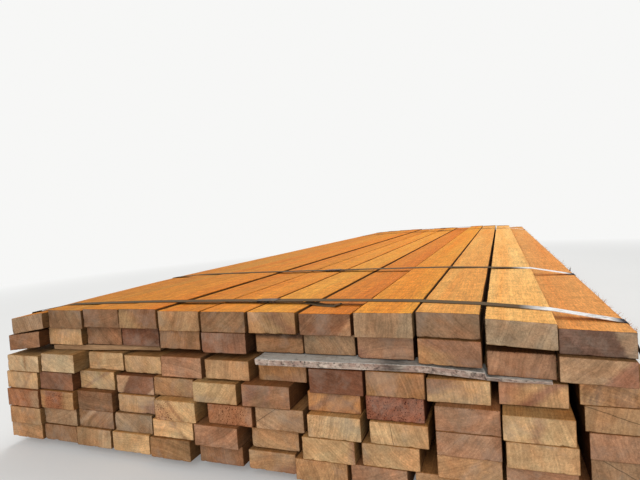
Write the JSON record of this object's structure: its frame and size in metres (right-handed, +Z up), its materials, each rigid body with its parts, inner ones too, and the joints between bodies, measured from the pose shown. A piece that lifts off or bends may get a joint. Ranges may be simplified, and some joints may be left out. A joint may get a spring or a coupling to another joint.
{
  "type": "strapped stack of lumber",
  "caption": "Low rectangular stack of long rough-sawn boards on spacers, with stickers between two layers and crimped steel straps round it.",
  "frame": {"origin": "middle of the stack's footprint, on the floor that it stands on", "axes": "+Y along the boards from the near ends to the far ends, +X across the stack, +Z up"},
  "size_m": [1.3288, 3.678, 0.3316],
  "materials": {
    "sawn_timber": "rough sawn, unfinished",
    "weathered_strip": "weathered grey",
    "old_strip": "rough sawn, dirty",
    "strapping": "dull blued steel, lightly rusted",
    "seal_steel": "dull galvanised steel"
  },
  "bodies": {
    "root": {"boards_layer_1": "sawn_timber", "boards_layer_2": "sawn_timber", "boards_layer_3": "sawn_timber", "boards_layer_4": "sawn_timber", "boards_layer_5": "sawn_timber", "boards_layer_6": "sawn_timber", "boards_layer_7": "sawn_timber", "bottom_spacer_1": "old_strip", "bottom_spacer_2": "old_strip", "bottom_spacer_3": "old_strip", "bottom_spacer_4": "old_strip", "seal_1": "seal_steel", "seal_2": "seal_steel", "seal_3": "seal_steel", "seal_4": "seal_steel", "sticker_2": "old_strip", "sticker_3": "old_strip", "sticker_4": "old_strip", "sticker_5": "old_strip", "sticker_front_left": "old_strip", "sticker_front_right": "weathered_strip", "strap_1": "strapping", "strap_2": "strapping", "strap_3": "strapping", "strap_4": "strapping"}
  },
  "joints": []
}
